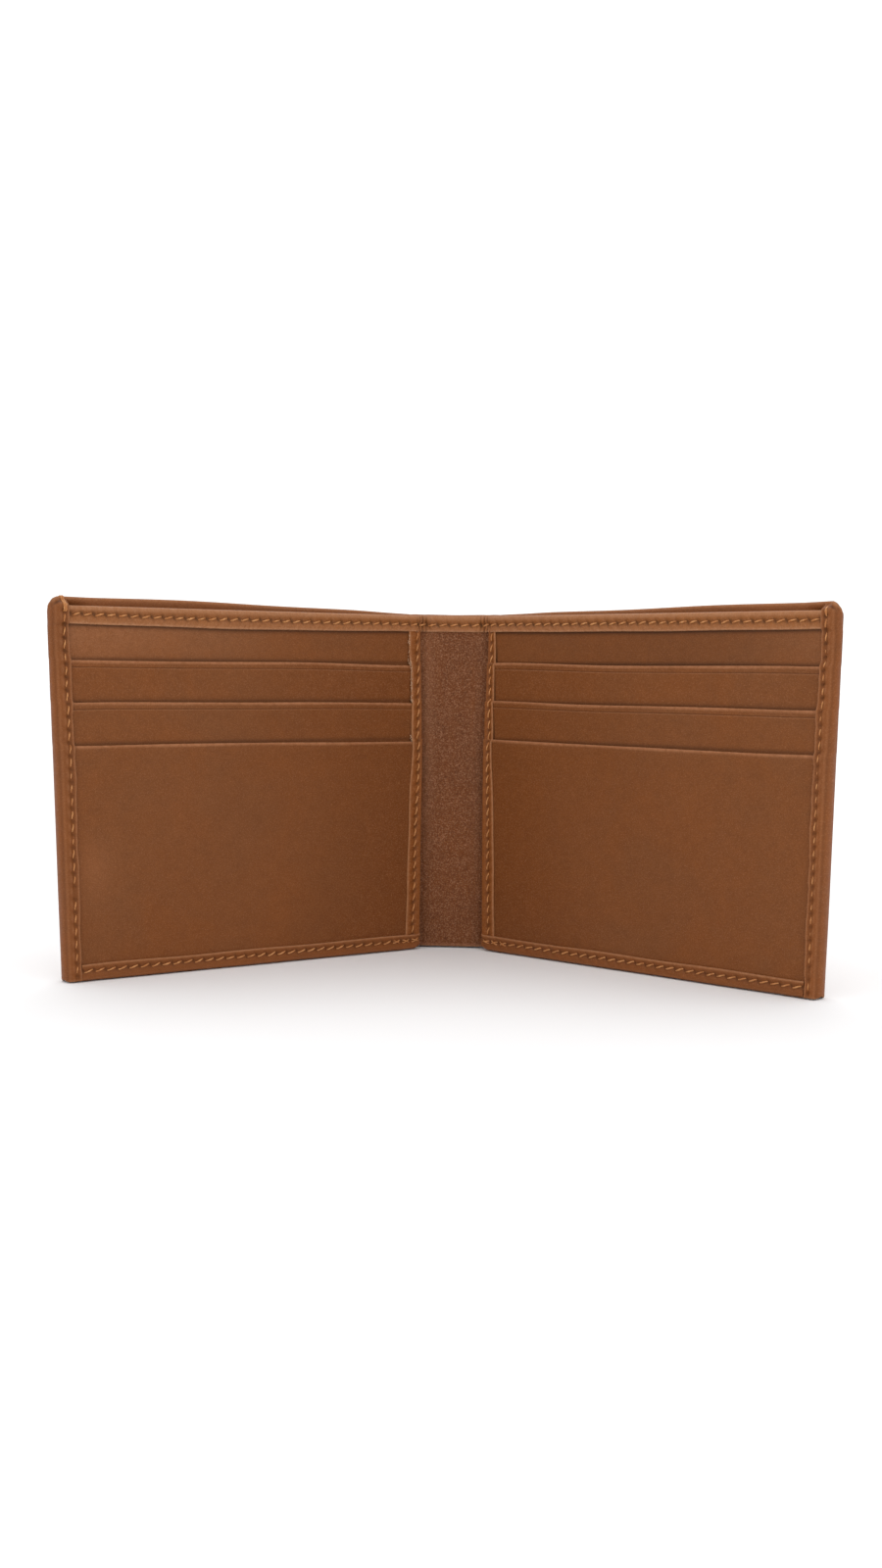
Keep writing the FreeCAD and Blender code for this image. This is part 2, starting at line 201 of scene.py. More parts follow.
def draw_in(side, s, z):
    """How far sewing has drawn the half's outer end in, most at the foot and in the rolled edge."""
    foot = 1 - np.clip(z / 97, 0, 1)
    panel = (2.4 if side < 0 else 1.7) * foot * np.clip(s / EDGE, 0, 1)
    roll = ((1.0 if side < 0 else 1.5) + 0.5 * foot) * smooth(EDGE - 5.5, EDGE, s)
    return panel + roll


def stations(start, end, coarse, *fine):
    """Grid lines between two ends: coarse steps, with finer ones inside each (low, high, step)."""
    marks = np.linspace(start, end, max(2, round((end - start) / coarse) + 1))
    for low, high, step in fine:
        low, high = max(low, start), min(high, end)
        if high <= low:
            continue
        added = np.linspace(low, high, max(2, round((high - low) / step) + 1))
        marks = np.concatenate([marks[(marks < low - step / 2) | (marks > high + step / 2)], added])
    marks = np.unique(marks.round(5))
    return marks[np.concatenate([[True], np.diff(marks) > 0.0002 * (end - start)])]


def holes(start, end, pitch=PITCH):
    """Needle holes along a seam."""
    count = max(1, round((end - start) / pitch))
    return start + (end - start) * np.arange(count + 1) / count


SIDE_MARKS = holes(BOTTOM_SEAM - 1.2, TOP_AT_EDGE - 3.8, SIDE_PITCH)
BOTTOM_MARKS = holes(CARD_EDGE + 0.5, HEM_START - 0.3)
TOP_MARKS = FOLD_X + holes(PITCH / 2 - FOLD_X, HEM_START - 0.4)
TOP_RUN = np.concatenate([TOP_MARKS[0] - (TOP_MARKS[1] - TOP_MARKS[0]) * np.array([2, 1]), TOP_MARKS])
# The right half's rows along the top also hold the stitch over the wallet's middle.
TOP_STITCHES = {-1: TOP_MARKS, 1: np.concatenate([[-TOP_MARKS[0]], TOP_MARKS])}


def seam_relief(t, n, marks, slant=-0.45, deep=1.0):
    """Height of leather beside a seam, with a groove, needle holes and the puffs between them, and painted
    shade in the groove and holes.
    """
    t, n = np.broadcast_arrays(np.asarray(t, float), np.asarray(n, float))
    pitch = marks[1] - marks[0]
    q = (t - marks[0] - slant * n) / pitch
    inside = smooth(-0.6, -0.1, q) * (1 - smooth(len(marks) - 0.9, len(marks) - 0.4, q))
    near = (q - np.round(q)) * pitch
    hole = hill(near, 0.42) * hill(n, 0.80) * inside
    groove = hill(n, 0.62) * inside
    puff = (0.5 - 0.5 * np.cos(2 * np.pi * q)) * hill(np.abs(n) - 1.15, 0.75) * inside
    height = deep * (-0.16 * groove - 0.22 * hole + 0.13 * puff)
    return height, np.clip(0.42 * hole + 0.18 * groove, 0, 1)


# ---------------------------------------------------------------- mesh building

def mesh_object(name, verts, faces, attributes, sharp=40):
    mesh = bpy.data.meshes.new(name)
    mesh.from_pydata(verts.tolist(), [], faces.tolist() if hasattr(faces, "tolist") else faces)
    for key, values in attributes.items():
        vector = values.ndim == 2
        layer = mesh.attributes.new(key, "FLOAT_VECTOR" if vector else "FLOAT", "POINT")
        layer.data.foreach_set("vector" if vector else "value", values.astype(np.float32).ravel())
    mesh.polygons.foreach_set("use_smooth", [True] * len(mesh.polygons))
    mesh.set_sharp_from_angle(angle=math.radians(sharp))
    mesh.update()
    obj = bpy.data.objects.new(name, mesh)
    bpy.context.scene.collection.objects.link(obj)
    return obj


def grid_faces(n, m):
    i, j = np.meshgrid(np.arange(n - 1), np.arange(m - 1), indexing="ij")
    a = (i * m + j).ravel()
    return np.stack([a, a + m, a + m + 1, a + 1], -1)


def signed_volume(p, quads):
    a, b, c, d = (p[quads[:, k]] for k in range(4))
    return (np.einsum("ij,ij->i", a, np.cross(b, c)) + np.einsum("ij,ij->i", a, np.cross(c, d))).sum()


def shell(name, outer, thick, put, skin, relief=0.0, rims=(0, 0, 0, 0), painted_shade=0.0, wear_and_highlight=0.0,
          facing=-1, shade_and_tone=0.0):
    """A closed sheet of leather or cloth: a grid for its outer face, and another its thickness behind.
    relief moves the outer face only, and rims rounds its four borders and pales them, partly as rubbed edges
    and partly as painted highlight."""
    outer = np.stack(outer, -1)
    step_a, step_b = np.gradient(outer, axis=0), np.gradient(outer, axis=1)
    normal = facing * np.cross(step_a, step_b)
    normal /= np.maximum(np.linalg.norm(normal, axis=2, keepdims=True), 1e-9)
    long_a = np.linalg.norm(np.diff(outer, axis=0), axis=2).cumsum(0)
    long_a = np.concatenate([np.zeros((1, outer.shape[1])), long_a], 0)
    long_b = np.linalg.norm(np.diff(outer, axis=1), axis=2).cumsum(1)
    long_b = np.concatenate([np.zeros((outer.shape[0], 1)), long_b], 1)
    to_border = (long_a, long_a[-1:] - long_a, long_b, long_b[:, -1:] - long_b)
    shape = outer.shape[:2]
    drop, edge_wear_and_highlight = np.zeros(shape), np.zeros(shape)
    for distance, radius in zip(to_border, rims):
        if radius:
            t = np.clip(1 - distance / radius, 0, 1)
            drop = np.hypot(drop, radius * (1 - np.sqrt(1 - t * t)))
            edge_wear_and_highlight = np.maximum(edge_wear_and_highlight, hill(distance, 1.3 * radius))
    thick = np.broadcast_to(np.asarray(thick, float), shape)
    drop = np.minimum(drop, 0.85 * thick)
    front = outer + normal * (np.broadcast_to(relief, shape) - drop)[..., None]
    back = outer - normal * thick[..., None]
    n, m = shape
    top = grid_faces(n, m)
    border = np.concatenate([np.arange(m), m * np.arange(1, n) + m - 1,
                             (n - 1) * m + np.arange(m - 2, -1, -1), m * np.arange(n - 2, 0, -1)])
    following = np.roll(border, -1)
    rim = np.stack([border, following, following + n * m, border + n * m], -1)
    faces = np.concatenate([top, top[:, ::-1] + n * m, rim])
    verts = np.concatenate([put(*(p[..., k] for k in range(3))).reshape(-1, 3) for p in (front, back)])
    if signed_volume(verts, faces) < 0:
        faces = faces[:, ::-1]
    skin_grid = np.stack(np.broadcast_arrays(*skin), -1).reshape(-1, 3)
    attributes = {
        "skin": np.concatenate([skin_grid, skin_grid + [0, 0, 3.0]]),
        "painted_shade": np.tile(np.broadcast_to(painted_shade, shape).ravel(), 2),
        "wear_and_highlight": np.tile(np.clip(np.broadcast_to(wear_and_highlight, shape) + edge_wear_and_highlight, 0, 1).ravel(), 2),
        "shade_and_tone": np.tile(np.broadcast_to(shade_and_tone, shape).ravel(), 2),
    }
    return mesh_object(name, verts, faces, attributes)


def finish_piece(obj, material, nodes, name, side=None):
    """Gives a piece its material and slot, and hides the CAD nodes it replaces. side is given if it crosses
    that side's fold: its transform is then baked in, and any other piece is attached to its half's body.
    """
    obj.data.materials.append(material)
    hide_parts(*nodes)
    if side:
        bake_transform(obj)
    else:
        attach(obj, name + "_half")
    return obj


def tubes(name, paths, ring=9, twist=1.5):
    """Closed threads. Each path is (points in metres, up directions, radii in millimetres)."""
    verts, faces, skins, count = [], [], [], 0
    turn = np.linspace(0, 2 * np.pi, ring, endpoint=False)
    for k, (points, ups, radii) in enumerate(paths):
        along = np.gradient(points, axis=0)
        along /= np.linalg.norm(along, axis=1, keepdims=True)
        up = ups - along * np.einsum("ij,ij->i", ups, along)[:, None]
        up /= np.maximum(np.linalg.norm(up, axis=1, keepdims=True), 1e-9)
        across = np.cross(along, up)
        length = np.concatenate([[0], np.linalg.norm(np.diff(points, axis=0), axis=1).cumsum()]) / MM
        ply = 1 + 0.15 * np.cos(2 * (turn[None] - math.pi * length[:, None] / twist))
        size = radii[:, None] * ply * MM
        ends = points[:, None] + up[:, None] * (np.sin(turn) * size * 0.82)[..., None]
        ends = ends + across[:, None] * (np.cos(turn) * size)[..., None]
        n = len(points)
        a = np.arange(n - 1)[:, None] * ring + np.arange(ring)[None]
        b = np.arange(n - 1)[:, None] * ring + (np.arange(ring)[None] + 1) % ring
        quads = np.stack([a, b, b + ring, a + ring], -1).reshape(-1, 4) + count
        faces += quads.tolist()
        faces.append([count + i for i in range(ring)][::-1])
        faces.append([count + (n - 1) * ring + i for i in range(ring)])
        verts.append(ends.reshape(-1, 3))
        skin = np.stack(np.broadcast_arrays(length[:, None], turn[None] * 0.25, k * 3.7), -1)
        skins.append(skin.reshape(-1, 3))
        count += n * ring
    verts, skins = np.concatenate(verts), np.concatenate(skins)
    first = np.array(faces[0])
    centre = verts[first].mean(0) - paths[0][0][0]
    normal = np.cross(verts[first[1]] - verts[first[0]], verts[first[3]] - verts[first[0]])
    if centre @ normal < 0:
        faces = [f[::-1] for f in faces]
    zero = np.zeros(len(verts))
    return mesh_object(name, verts, faces, {"skin": skins, "painted_shade": zero, "wear_and_highlight": zero}, 60)


def stitch_paths(marks, at, put, lean=0.26, height=0.15, radius=0.215, sink=0.5, uneven=0.02, gap=0.26):
    """One bowed length of thread from each needle hole to the next, rising to the right of the seam.
    at(t, n, h) gives the (s or u, d, z) of a point h above the leather."""
    paths = []
    for low, high in zip(marks[:-1], marks[1:]):
        t = np.linspace(0, 1, 13)
        wobble = random.normal(0, 1, 4)
        tilt = lean * (1 + 0.18 * wobble[0])
        n = tilt * np.sin((t - 0.5) * math.pi * 0.9) + 0.03 * wobble[1]
        arch = np.sin(math.pi * np.clip(t, 0, 1)) ** 0.55
        h = -sink + (sink + height + uneven * wobble[2]) * arch
        where = low + gap + (high - low - 2 * gap) * t
        points = put(*at(where, n, h))
        ups = put(*at(where, n, h + 1.0)) - points
        radii = radius * (1 + 0.06 * wobble[3]) * (0.75 + 0.25 * np.sin(math.pi * t) ** 0.5)
        paths.append((points, ups, radii))
    return paths


# ---------------------------------------------------------------- materials

class Graph:
    """Short ways to add shader nodes."""

    def __init__(self, name):
        self.material = bpy.data.materials.new(name)
        self.material.use_nodes = True
        self.nodes, self.links = self.material.node_tree.nodes, self.material.node_tree.links
        self.nodes.clear()
        output = self.nodes.new("ShaderNodeOutputMaterial")
        self.shader = self.nodes.new("ShaderNodeBsdfPrincipled")
        self.links.new(self.shader.outputs[0], output.inputs[0])
        self.skin = self.attribute("skin", "Vector")

    def set(self, socket, value):
        if isinstance(value, bpy.types.NodeSocket):
            self.links.new(value, socket)
        else:
            socket.default_value = value

    def attribute(self, name, output="Fac"):
        node = self.nodes.new("ShaderNodeAttribute")
        node.attribute_name = name
        return node.outputs[output]

    def scaled(self, vector, scale):
        node = self.nodes.new("ShaderNodeMapping")
        self.set(node.inputs["Vector"], vector)
        self.set(node.inputs["Scale"], scale)
        return node.outputs[0]

    def noise(self, scale, detail=3, roughness=0.55, distortion=0.0, vector=None):
        node = self.nodes.new("ShaderNodeTexNoise")
        self.set(node.inputs["Vector"], vector or self.skin)
        settings = {"Scale": scale, "Detail": detail, "Roughness": roughness, "Distortion": distortion}
        for key, value in settings.items():
            self.set(node.inputs[key], value)
        return node.outputs["Fac"]

    def cells(self, scale):
        node = self.nodes.new("ShaderNodeTexVoronoi")
        node.feature = "DISTANCE_TO_EDGE"
        self.set(node.inputs["Vector"], self.skin)
        self.set(node.inputs["Scale"], scale)
        return node.outputs["Distance"]

    def wave(self, scale, distortion, direction="X"):
        node = self.nodes.new("ShaderNodeTexWave")
        node.bands_direction = direction
        self.set(node.inputs["Vector"], self.skin)
        self.set(node.inputs["Scale"], scale)
        self.set(node.inputs["Distortion"], distortion)
        return node.outputs["Fac"]

    def math(self, operation, a, b=0.0, clamp=False):
        node = self.nodes.new("ShaderNodeMath")
        node.operation = operation
        node.use_clamp = clamp
        self.set(node.inputs[0], a)
        self.set(node.inputs[1], b)
        return node.outputs[0]

    def ramp(self, value, low, high, out_low=0.0, out_high=1.0):
        node = self.nodes.new("ShaderNodeMapRange")
        ends = {"From Min": low, "From Max": high, "To Min": out_low, "To Max": out_high}
        self.set(node.inputs["Value"], value)
        for key, end in ends.items():
            self.set(node.inputs[key], end)
        return node.outputs[0]

    def mix(self, factor, a, b, blend="MIX"):
        node = self.nodes.new("ShaderNodeMix")
        node.data_type = "RGBA"
        node.blend_type = blend
        self.set(node.inputs[0], factor)
        self.set(node.inputs[6], a)
        self.set(node.inputs[7], b)
        return node.outputs[2]

    def shaded(self, factor, colour, shade):
        """The colour, multiplied by a shade where the factor is 1."""
        return self.mix(factor, colour, self.mix(1.0, colour, shade, "MULTIPLY"))

    def bump(self, height, strength, distance, normal=None):
        node = self.nodes.new("ShaderNodeBump")
        self.set(node.inputs["Height"], height)
        self.set(node.inputs["Strength"], strength)
        self.set(node.inputs["Distance"], distance)
        if normal:
            self.set(node.inputs["Normal"], normal)
        return node.outputs[0]

    def finish(self, colour, roughness, normal=None, **extra):
        self.set(self.shader.inputs["Base Color"], colour)
        self.set(self.shader.inputs["Roughness"], roughness)
        if normal:
            self.set(self.shader.inputs["Normal"], normal)
        for key, value in extra.items():
            self.set(self.shader.inputs[key.replace("_", " ")], value)
        return self.material


def tint(colour, factor):
    return tuple(min(1, c * factor) for c in colour) + (1,)


def leather(name, base, warm, pale, rough=0.42, pebble=0.0, grain=1.0, mottle=1.0, gloss=0.5):
    """Dyed leather: mottled colour, fine pores and an optional pebble grain, with painted shade in creases,
    holes and gaps, and pale edges that are partly rubbed and partly painted highlight. Where the spine-shade
    attribute is 1 the colour is deeper and warmer: painted shade towards the spine, with a little random
    tone."""
    g = Graph(name)
    painted_shade, wear_and_highlight = g.attribute("painted_shade"), g.attribute("wear_and_highlight")
    blotch = g.noise(0.045, 4, 0.6, 0.6)
    cloud = g.noise(0.32, 4, 0.6)
    pore = g.noise(4.5, 3, 0.7)
    colour = g.mix(g.ramp(blotch, 0.34, 0.66, 0, mottle), base + (1,), warm + (1,))
    # deep is the darker, warmer colour of the painted shade towards the spine.
    deep = (base[0] * 0.86, base[1] * 0.72, base[2] * 0.42, 1)
    colour = g.mix(g.attribute("shade_and_tone"), colour, deep)
    colour = g.shaded(g.ramp(cloud, 0.35, 0.70, 0, 0.45 * mottle), colour, (0.80, 0.80, 0.80, 1))
    fleck = g.noise(2.1, 3, 0.7)
    colour = g.shaded(g.ramp(fleck, 0.40, 0.66, 0.0, 0.26 * grain), colour, (0.62, 0.56, 0.50, 1))
    colour = g.shaded(g.ramp(pore, 0.36, 0.62, 0.34 * grain, 0.0), colour, (0.50, 0.46, 0.42, 1))
    colour = g.mix(g.ramp(g.noise(3.6, 2, 0.6), 0.53, 0.72, 0, 0.30 * grain), colour, pale + (1,))
    specks = g.ramp(g.noise(2.6, 3, 0.75), 0.54, 0.66, 0, 0.38)
    specks = g.math("MULTIPLY", specks, g.attribute("shade_and_tone"), True)
    colour = g.mix(specks, colour, pale + (1,))
    height = g.math("MULTIPLY", pore, 0.35 * grain)
    if pebble:
        bumps = g.ramp(g.cells(1.7), 0.0, 0.20, 0, 1)
        fine = g.ramp(g.cells(3.4), 0.0, 0.12, 0, 1)
        colour = g.mix(g.ramp(bumps, 0, 0.8, 0.75 * pebble, 0), colour, tint(base, 0.42))
        colour = g.mix(g.ramp(g.noise(2.3, 3, 0.75), 0.49, 0.63, 0, 0.60 * pebble), colour, pale + (1,))
        streaks = g.noise(0.5, 3, 0.6, vector=g.scaled(g.skin, (1, 0.12, 1)))
        colour = g.mix(g.ramp(streaks, 0.50, 0.72, 0, 0.30 * pebble), colour, warm + (1,))
        height = g.math("ADD", height, g.math("MULTIPLY", bumps, 0.9 * pebble))
        height = g.math("ADD", height, g.math("MULTIPLY", fine, 0.35 * pebble))
    # Pale edges: partly rubbed wear, partly painted highlight and sheen where edges and lips catch the
    # light.
    rub_and_highlight = g.math("MULTIPLY", wear_and_highlight, g.ramp(g.noise(0.9, 4, 0.7), 0.30, 0.62, 0.45, 1.0))
    colour = g.mix(g.math("MULTIPLY", rub_and_highlight, 0.72, True), colour, pale + (1,))
    # Painted shade: the shade mask darkens the colour towards a near-black brown in holes, grooves, creases
    # and gaps.
    colour = g.mix(g.math("MULTIPLY", painted_shade, 0.88, True), colour, tint(base, 0.16))
    shine = g.ramp(g.noise(0.7, 4, 0.65), 0.3, 0.7, rough - 0.06, rough + 0.10)
    shine = g.math("ADD", shine, g.math("MULTIPLY", rub_and_highlight, 0.12))
    normal = g.bump(height, 0.55, 0.00009)
    normal = g.bump(g.noise(0.55, 3, 0.5), 0.35, 0.00016, normal)
    return g.finish(colour, shine, normal, **{"Specular_IOR_Level": gloss})


def thread_material(name, base, pale, deep):
    g = Graph(name)
    colour = g.mix(g.ramp(g.noise(0.9, 2, 0.6), 0.35, 0.65), base + (1,), pale + (1,))
    colour = g.mix(g.ramp(g.noise(5.0, 3, 0.7), 0.45, 0.70, 0, 0.6), colour, deep + (1,))
    fibres = g.noise(7.0, 3, 0.7, vector=g.scaled(g.skin, (0.5, 6, 1)))
    normal = g.bump(fibres, 0.8, 0.00006)
    return g.finish(colour, g.ramp(fibres, 0.3, 0.7, 0.45, 0.7), normal, Specular_IOR_Level=0.4)


def cloth_material(name, base, other):
    g = Graph(name)
    warp = g.wave(1.9, 0.5)
    weft = g.wave(1.9, 0.5, direction="Y")
    weave = g.math("MULTIPLY", warp, weft)
    colour = g.mix(weave, other + (1,), base + (1,))
    colour = g.mix(g.ramp(g.noise(0.2, 4), 0.3, 0.7, 0, 0.4), colour, tint(base, 0.7))
    normal = g.bump(weave, 0.7, 0.00010)
    return g.finish(colour, g.ramp(weave, 0, 1, 0.85, 0.62), normal, Sheen_Weight=0.15)


def board_material(name, base):
    g = Graph(name)
    fibres = g.noise(2.0, 4, 0.7, 0.8)
    colour = g.mix(g.ramp(fibres, 0.3, 0.7), base + (1,), tint(base, 0.7))
    return g.finish(colour, 0.85, g.bump(fibres, 0.5, 0.0001))


COVER = leather("cover_leather", (0.222, 0.072, 0.0205), (0.245, 0.076, 0.0185), (0.41, 0.190, 0.090),
                0.50, grain=0.9, gloss=0.12)
POCKET = leather("pocket_leather", (0.194, 0.066, 0.0190), (0.210, 0.066, 0.0155), (0.40, 0.172, 0.080),
                 0.46, gloss=0.13)
BAND = leather("band_leather", (0.290, 0.104, 0.032), (0.305, 0.107, 0.029), (0.46, 0.235, 0.125),
               0.50, gloss=0.14)
GRAINED = leather("grained_leather", (0.168, 0.052, 0.0155), (0.195, 0.056, 0.0122), (0.37, 0.172, 0.090),
                  0.58, pebble=1.0, gloss=0.14)
LINING = cloth_material("lining", (0.115, 0.048, 0.024), (0.060, 0.025, 0.013))
BOARD = board_material("board", (0.30, 0.22, 0.15))
THREAD = thread_material("thread", (0.45, 0.162, 0.040), (0.60, 0.280, 0.100), (0.24, 0.080, 0.020))


# ---------------------------------------------------------------- pieces that cross the folds

def grid(a, b):
    return np.meshgrid(a, b, indexing="ij")


def fold_creases(u):
    """Creases in leather where it turns at a fold."""
    return -0.10 * hill(u - FOLD_X + 0.9, 0.35) - 0.12 * hill(u - FOLD_X - 0.6, 0.35)


def divider_z(u, t):
    """Height at the share t of the divider's height. Its foot is lifted off the table at the spine."""
    foot = SPINE_FOOT + (LAYER_FOOT - SPINE_FOOT) * smooth(FOLD_X, FOLD_X + 1, u)
    return foot + (layer_top(u - FOLD_X) - foot) * t


def make_divider(name, side):
    u, z = grid(stations(0, FOLD_X + INNER, 2.0, (0, 16, 0.4)), stations(0, 1, 0.012))
    z = divider_z(u, z)
    d = 0.0 * u
    relief = fold_creases(u) + 0.05 * np.sin(u * 1.1) * np.sin(z / 6.5) * (1 - smooth(8, 12, u))
    # Painted shade in the fold.
    painted_shade = 0.12 * hill(u - FOLD_X + 0.2, 0.9)
    # A pale painted sheen beside the fold, stronger on the left.
    amount, middle = (0.40, 62) if side < 0 else (0.18, 45)
    painted_sheen_by_fold = amount * hill(u - FOLD_X + 2.2, 1.8) * hill(z - middle, 34)
    put = lambda *p: place_u(side, *p)
    obj = shell("divider_" + name, (u, d, z), 0.66, put, (u * side, z, 11.0), relief,
                (0, 0, 0.3, 0.3), painted_shade, painted_sheen_by_fold)
    finish_piece(obj, GRAINED, ["divider_leather_" + name, "spine_divider"], name, side)


def make_divider_lining(name, side):
    u, z = grid(stations(0, FOLD_X + INNER, 2.5, (0, 16, 0.6)), stations(0, 1, 0.03))
    z = divider_z(u, z)
    put = lambda *p: place_u(side, *p)
    obj = shell("divider_lining_" + name, (u, 0 * u + LINING_BACK, z), 0.26, put,
                (u * side, z, 23.0), 0.0, (0, 0, 0.1, 0.1), facing=1)
    finish_piece(obj, LINING, ["divider_lining_" + name, "spine_divider_lining"], name, side)


def band_front(u):
    """Depth of the band's front face: it lies on the divider at the spine and on the card panel beyond."""
    at_spine = BAND_FACE - BACKING_FACE
    return BAND_FACE + (at_spine - BAND_FACE) * (1 - smooth(FOLD_X - 0.6, FOLD_X + 2.4, u))


def band_seam_z(side, u):
    s = u - FOLD_X
    rise = 0.45 * smooth(60, 105, s) if side < 0 else 0.15 * smooth(40, 100, s)
    return BAND_SEAM + rise + 0.06 * np.sin(s / 7)


def band_foot_z(side, u):
    s = np.clip(u - FOLD_X, 0, EDGE)
    return BAND_FOOT - (0.45 if side < 0 else 0.15) * np.sin(np.pi * s / EDGE) ** 2 + 0.05 * np.sin(s / 5.3)


def make_band(name, side):
    path = np.concatenate([stations(0, 3.75, 0.17), 3.75 + np.linspace(0.1, 1, 9), stations(4.85, 8.6, 0.3)])
    u, c = grid(stations(0, FOLD_X + 105.2, 0.24), path)
    front = band_front(u)
    foot = band_foot_z(side, u)
    middle, half = (front + BAND_BACK) / 2, (front - BAND_BACK) / 2
    turn_height = 0.85
    rise = (LINER_TOP - turn_height - foot) / 3.75
    turn = np.clip((c - 3.75) / 1.0, 0, 1) * math.pi
    up = foot + np.minimum(c, 3.75) * rise
    down = np.clip(c - 4.8, 0, None) * rise
    z = up + turn_height * np.sin(turn) - down
    d = middle + half * np.cos(turn)
    seam_z = band_seam_z(side, u)
    height, painted_shade = seam_relief(u, z - seam_z, TOP_RUN, slant=-0.5 * side, deep=1.3)
    painted_shade = 1.35 * painted_shade
    on_front = 1 - smooth(3.8, 4.4, c)
    height, painted_shade = height * (on_front + 0.4 * (1 - on_front)), painted_shade * on_front
    gather = np.sin(2 * np.pi * u / 1.15 + 0.6 * np.sin(z * 1.9) + side) * hill(u - FOLD_X + 0.6, 2.4)
    height = height + 0.26 * gather * on_front + 0.10 * hill(z - LINER_TOP + 1.1, 0.7) * on_front
    tugs = np.sin(u * 2 * np.pi / 1.5 - 2.0 * side * z + np.sin(u)) * hill(z - foot - 0.9, 0.8)
    height = height + 0.07 * tugs * on_front
    # Painted shade in the hollows of the gathers and in the seam's holes.
    painted_shade = np.clip(painted_shade + 0.62 * np.clip(-gather, 0, 1) ** 1.3 * on_front, 0, 1)
    # Pale top edge and foot: partly rubbed, partly painted highlight.
    wear_and_highlight = 0.55 * hill(c - 3.9, 0.55) + 0.35 * hill(c, 1.2)
    thick = 0.55 - 0.28 * smooth(3.9, 4.8, c)
    put = lambda *p: place_u(side, *p)
    obj = shell("band_" + name, (u, d, z), thick, put, (u * side, c, 31.0), height,
                (0, 0.3, 0.28, 0.12), painted_shade, wear_and_highlight)
    finish_piece(obj, BAND, ["top_band_" + name, "spine_band"], name, side)
    front_at = lambda t, n, h: (t, band_front(t) + h - 0.10, band_seam_z(side, t) + n)
    back_at = lambda t, n, h: (t, BAND_BACK - h + 0.05, band_seam_z(side, t) + n)
    paths = stitch_paths(TOP_STITCHES[side], front_at, put, 0.26 * side, gap=0.42)
    paths += stitch_paths(TOP_STITCHES[side], back_at, put, -0.26 * side)
    thread = tubes("thread_band_" + name, paths)
    finish_piece(thread, THREAD, ["thread_band_" + name, "spine_thread_band"], name, side)


def cover_foot(s):
    return SPINE_FOOT + (BOTTOM_SEAM - SPINE_FOOT) * smooth(CARD_EDGE - 0.05, CARD_EDGE + 0.4, s)


def make_cover(name, side):
    lean = 6.0
    half = COVER_THICK / 2
    around = np.linspace(0, 1, 10)[1:]
    back = 1 + stations(0.0, 1.0, 0.02, (0.015, 0.075, 0.0035), (0.94, 1.0, 0.004))[1:]
    path = np.concatenate([stations(-1, 0, 0.1), around, back])
    hem_foot = FOLD_X + CARD_EDGE
    columns = stations(0, FOLD_X + SIDE_SEAM - 0.05, 0.42, (hem_foot - 0.2, hem_foot + 0.6, 0.1))
    u, c = grid(columns, path)
    s = u - FOLD_X
    top = cover_top(s, side)
    foot = cover_foot(s)
    turn = np.clip(c, 0, 1) * math.pi
    inside = np.clip(-c, 0, 1)
    down = np.clip(c - 1, 0, 1)
    z = top - half + half * np.sin(turn) - inside * (lean - half) - down * (top - half - foot)
    wall = wall_depth(s, z)
    d = -wall - half + half * np.cos(turn)
    height, painted_shade = seam_relief(u, z - (top - TOP_SEAM_DROP), TOP_RUN, slant=0.45 * side)
    outside = smooth(0.9, 1.0, c)
    puckers = 0.10 * (0.5 - 0.5 * np.cos(2 * np.pi * (u - TOP_MARKS[0]) / (TOP_MARKS[1] - TOP_MARKS[0])))
    height = height * outside + (1 - outside) * puckers * hill(z - top + 1.2, 0.8)
    groove, shade = seam_relief(z, s - SIDE_SEAM, SIDE_MARKS, slant=0.3)
    low, low_shade = seam_relief(s, z - BOTTOM_SEAM, BOTTOM_MARKS, slant=0.5 * side)
    height = height + outside * (groove + low * smooth(0.5, 2, s)) + fold_creases(u) * 0.6
    painted_shade = np.clip(painted_shade * outside + outside * (shade + low_shade * smooth(0.5, 2, s)), 0, 1)
    # Pale top edge: partly rubbed, partly painted highlight from above.
    wear_and_highlight = 0.8 * hill(c - 0.45, 0.42)
    put = lambda *p: place_u(side, *p, shared=False)
    obj = shell("cover_" + name, (u, d, z), half - 0.04, put, (u * side, z - 40 * outside, 43.0), height,
                (0, 0, 0.2, 0.0), painted_shade, wear_and_highlight)
    finish_piece(obj, COVER, ["cover_leather_" + name, "spine_cover"], name, side)

    def top_at(t, n, h):
        seam = cover_top(t - FOLD_X, side) - TOP_SEAM_DROP
        return t, -wall_depth(t - FOLD_X, seam) - COVER_THICK - h + 0.10, seam + n

    thread = tubes("thread_cover_top_" + name, stitch_paths(TOP_STITCHES[side], top_at, put, -0.28 * side))
    finish_piece(thread, THREAD, ["thread_cover_top_" + name], name, side)


def make_cover_inside(name, side):
    """The board and the lining of the cover."""
    lining_top = lambda s: cover_top(s, side) - TOP_MARGIN
    u, t = grid(stations(0, FOLD_X + SIDE_SEAM - 0.4, 2.5, (0, 18, 0.6)), stations(0, 1, 0.025))
    s = u - FOLD_X
    foot = cover_foot(s) + 0.1
    z = foot + (lining_top(s) - foot) * t
    put = lambda *p: place_u(side, *p, shared=False)
    depth = -wall_depth(s, z) - 0.02
    obj = shell("cover_lining_" + name, (u, depth, z), 0.22, put, (u * side, z, 57.0))
    finish_piece(obj, LINING, ["cover_lining_" + name, "spine_cover_lining"], name, side)

    (s0, s1), _, (z0, z1) = span("cover_board_right")
    s, z = grid(stations(s0 + 1, s1 - 2, 3.0), stations(max(z0, 5.0), z1, 2.5))
    z = np.minimum(z, lining_top(s) - 0.3)
    put = lambda *p: place(side, *p, shared=False)
    depth = -wall_depth(s, z) - 0.32
    board = shell("cover_board_" + name, (s, depth, z), 0.30, put, (s, z, 5.0))
    finish_piece(board, BOARD, ["cover_board_" + name], name)


